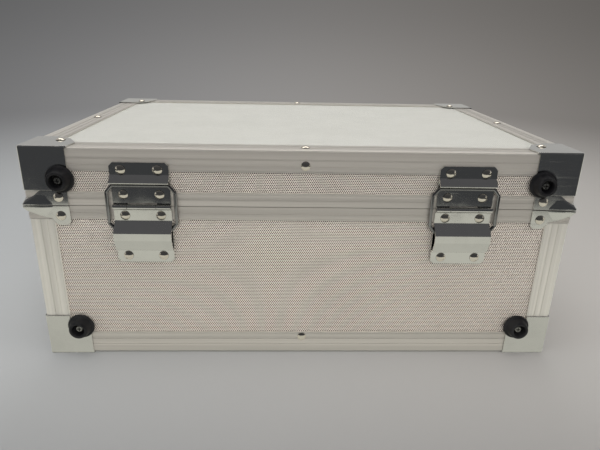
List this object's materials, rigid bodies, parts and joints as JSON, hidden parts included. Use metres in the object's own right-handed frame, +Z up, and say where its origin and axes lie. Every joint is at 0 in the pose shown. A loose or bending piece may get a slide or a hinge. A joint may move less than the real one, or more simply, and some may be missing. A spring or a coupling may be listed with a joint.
{
  "type": "record carrying case",
  "caption": "Aluminium-framed carrying case with a hinged lid on two ring-type stop hinges, pressed corners, rubber rear feet, hasp latches and a swinging handle.",
  "frame": {"origin": "middle of the bottom of the bounding box, on the plane the four bottom corners rest on", "axes": "+X along the case's width, -Y out of the hinge wall that the picture shows, +Y out of the latch wall, +Z up"},
  "size_m": [0.4858, 0.3558, 0.2039],
  "materials": {
    "wall_laminate": "board faced with dot-embossed silver laminate",
    "lid_laminate": "board faced with satin silver laminate",
    "rail_aluminium": "satin anodised extrusion",
    "pressed_steel": "nickel-plated pressed sheet",
    "hinge_steel": "nickel-plated hinge sheet",
    "rivet_steel": "plated domed rivets and wire",
    "foot_rubber": "moulded black rubber",
    "lining_felt": "dark felt lining",
    "grip_plastic": "moulded black handle"
  },
  "bodies": {
    "base": {"base_bottom_panel": "wall_laminate", "base_rear_panel": "wall_laminate", "base_front_panel": "wall_laminate", "base_left_panel": "wall_laminate", "base_right_panel": "wall_laminate", "bottom_rail_rear": "rail_aluminium", "bottom_rail_right": "rail_aluminium", "bottom_rail_front": "rail_aluminium", "bottom_rail_left": "rail_aluminium", "post_rear_left": "rail_aluminium", "post_rear_right": "rail_aluminium", "post_front_right": "rail_aluminium", "post_front_left": "rail_aluminium", "base_rim": "rail_aluminium", "base_corner_rear_left": "pressed_steel", "base_corner_rear_right": "pressed_steel", "base_corner_front_right": "pressed_steel", "base_corner_front_left": "pressed_steel", "base_rim_guards": "pressed_steel", "base_feet": "foot_rubber", "base_foot_screws": "rivet_steel", "base_rivets": "rivet_steel", "base_lining": "lining_felt", "hinge_left_lower_leaf": "hinge_steel", "hinge_right_lower_leaf": "hinge_steel", "hinge_pins": "rivet_steel", "latch_left_housing": "hinge_steel", "latch_right_housing": "hinge_steel", "handle_brackets": "hinge_steel"},
    "lid": {"lid_top_panel": "lid_laminate", "lid_rear_panel": "wall_laminate", "lid_front_panel": "wall_laminate", "lid_left_panel": "wall_laminate", "lid_right_panel": "wall_laminate", "top_rail_rear": "rail_aluminium", "top_rail_right": "rail_aluminium", "top_rail_front": "rail_aluminium", "top_rail_left": "rail_aluminium", "lid_posts": "rail_aluminium", "lid_rim": "rail_aluminium", "lid_corner_rear_left": "pressed_steel", "lid_corner_rear_right": "pressed_steel", "lid_corner_front_right": "pressed_steel", "lid_corner_front_left": "pressed_steel", "lid_rim_guards": "pressed_steel", "lid_feet": "foot_rubber", "lid_foot_screws": "rivet_steel", "lid_rivets": "rivet_steel", "lid_lining": "lining_felt", "hinge_left_upper_leaf": "hinge_steel", "hinge_right_upper_leaf": "hinge_steel", "hasp_mounts": "hinge_steel"},
    "left_stop_ring": {"stop_ring_left": "rivet_steel"},
    "right_stop_ring": {"stop_ring_right": "rivet_steel"},
    "left_hasp": {"latch_left_hasp": "hinge_steel"},
    "right_hasp": {"latch_right_hasp": "hinge_steel"},
    "left_button": {"latch_left_button": "rivet_steel"},
    "right_button": {"latch_right_button": "rivet_steel"},
    "handle": {"handle_grip": "grip_plastic"}
  },
  "joints": [
    {"name": "lid_hinge", "type": "hinge", "parent": "base", "child": "lid", "pos_m": [0, -0.1694, 0.15], "axis": [1, 0, 0], "range_deg": [0, 92]},
    {"name": "left_ring_pivot", "type": "hinge", "parent": "lid", "child": "left_stop_ring", "pos_m": [-0.141, -0.1694, 0.1695], "axis": [1, 0, 0], "range_deg": [-64, 0]},
    {"name": "right_ring_pivot", "type": "hinge", "parent": "lid", "child": "right_stop_ring", "pos_m": [0.141, -0.1694, 0.1695], "axis": [1, 0, 0], "range_deg": [-64, 0]},
    {"name": "left_hasp_hinge", "type": "hinge", "parent": "lid", "child": "left_hasp", "pos_m": [-0.141, 0.165, 0.156], "axis": [1, 0, 0], "range_deg": [-14, 80], "stiffness_Nm_per_rad": 0.05},
    {"name": "right_hasp_hinge", "type": "hinge", "parent": "lid", "child": "right_hasp", "pos_m": [0.141, 0.165, 0.156], "axis": [1, 0, 0], "range_deg": [-14, 80], "stiffness_Nm_per_rad": 0.05},
    {"name": "left_button_slide", "type": "slide", "parent": "base", "child": "left_button", "axis": [-1, 0, 0], "range_m": [0, 0.005], "stiffness_N_per_m": 150},
    {"name": "right_button_slide", "type": "slide", "parent": "base", "child": "right_button", "axis": [-1, 0, 0], "range_m": [0, 0.005], "stiffness_N_per_m": 150},
    {"name": "handle_hinge", "type": "hinge", "parent": "base", "child": "handle", "pos_m": [0, 0.1694, 0.106], "axis": [1, 0, 0], "range_deg": [0, 110]}
  ],
  "couplings": [
    {"joint": "left_ring_pivot", "follows": "lid_hinge", "ratio": -0.685},
    {"joint": "right_ring_pivot", "follows": "lid_hinge", "ratio": -0.685}
  ]
}
